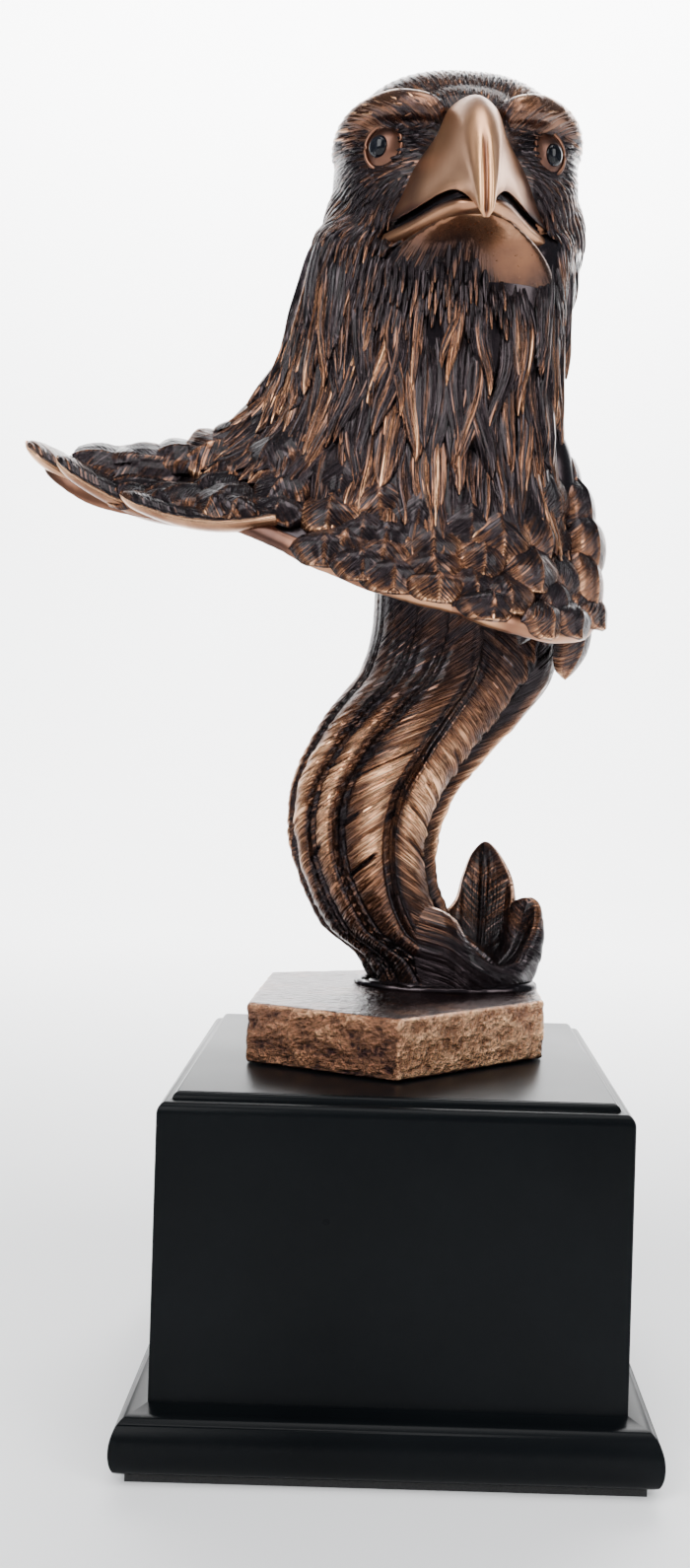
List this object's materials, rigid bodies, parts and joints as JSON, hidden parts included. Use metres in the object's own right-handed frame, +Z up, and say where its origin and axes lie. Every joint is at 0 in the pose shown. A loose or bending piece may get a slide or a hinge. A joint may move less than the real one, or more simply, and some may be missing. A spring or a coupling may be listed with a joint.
{
  "type": "eagle head bust",
  "caption": "Bronze-finished eagle head bust: feathered neck and cape with a side plume on a twisted column of tail feathers, a six-sided plate and a black moulded base.",
  "frame": {"origin": "centre of the underside of the base's pad", "axes": "+Z up, the long way of the object; -Y is the way the eagle faces; +X is to the right of a viewer in front"},
  "size_m": [0.1658, 0.127, 0.3522],
  "materials": {
    "bronze_finish": "plated cast resin, antiqued: dark brown in the hollows, rubbed bright copper on the edges",
    "black_satin": "satin black",
    "black_pad": "black felt"
  },
  "bodies": {
    "root": {"eagle_figure": "bronze_finish", "trophy_base": "black_satin", "base_pad": "black_pad"}
  },
  "joints": []
}
